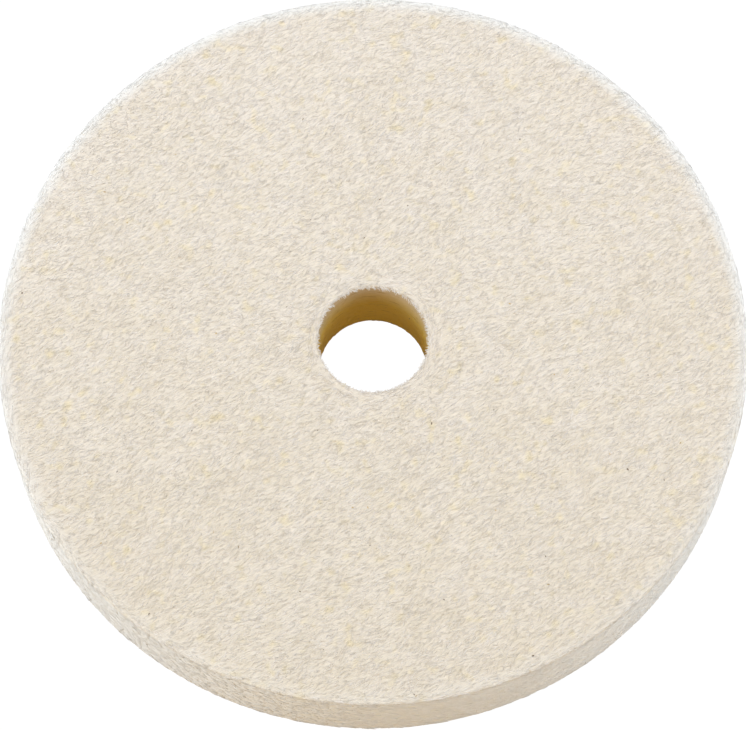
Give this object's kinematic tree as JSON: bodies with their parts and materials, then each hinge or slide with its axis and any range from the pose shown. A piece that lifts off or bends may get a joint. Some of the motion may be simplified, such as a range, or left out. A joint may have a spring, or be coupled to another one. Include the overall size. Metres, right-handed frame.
{
  "type": "felt polishing wheel",
  "caption": "Flat disc of hard pressed wool felt with a plain central bore, clamped on a spindle to polish stones and metal on its rim and faces.",
  "frame": {"origin": "centre of the bore on the lower flat face, which the wheel lies on", "axes": "+Z along the spin axis and bore, up from the lower face to the upper face; X and Y lie in the plane of the disc"},
  "size_m": [0.15, 0.15, 0.02],
  "materials": {
    "wool_felt": "hard pressed undyed wool felt, matt and finely brushed"
  },
  "bodies": {
    "root": {"felt_wheel": "wool_felt"}
  },
  "joints": []
}
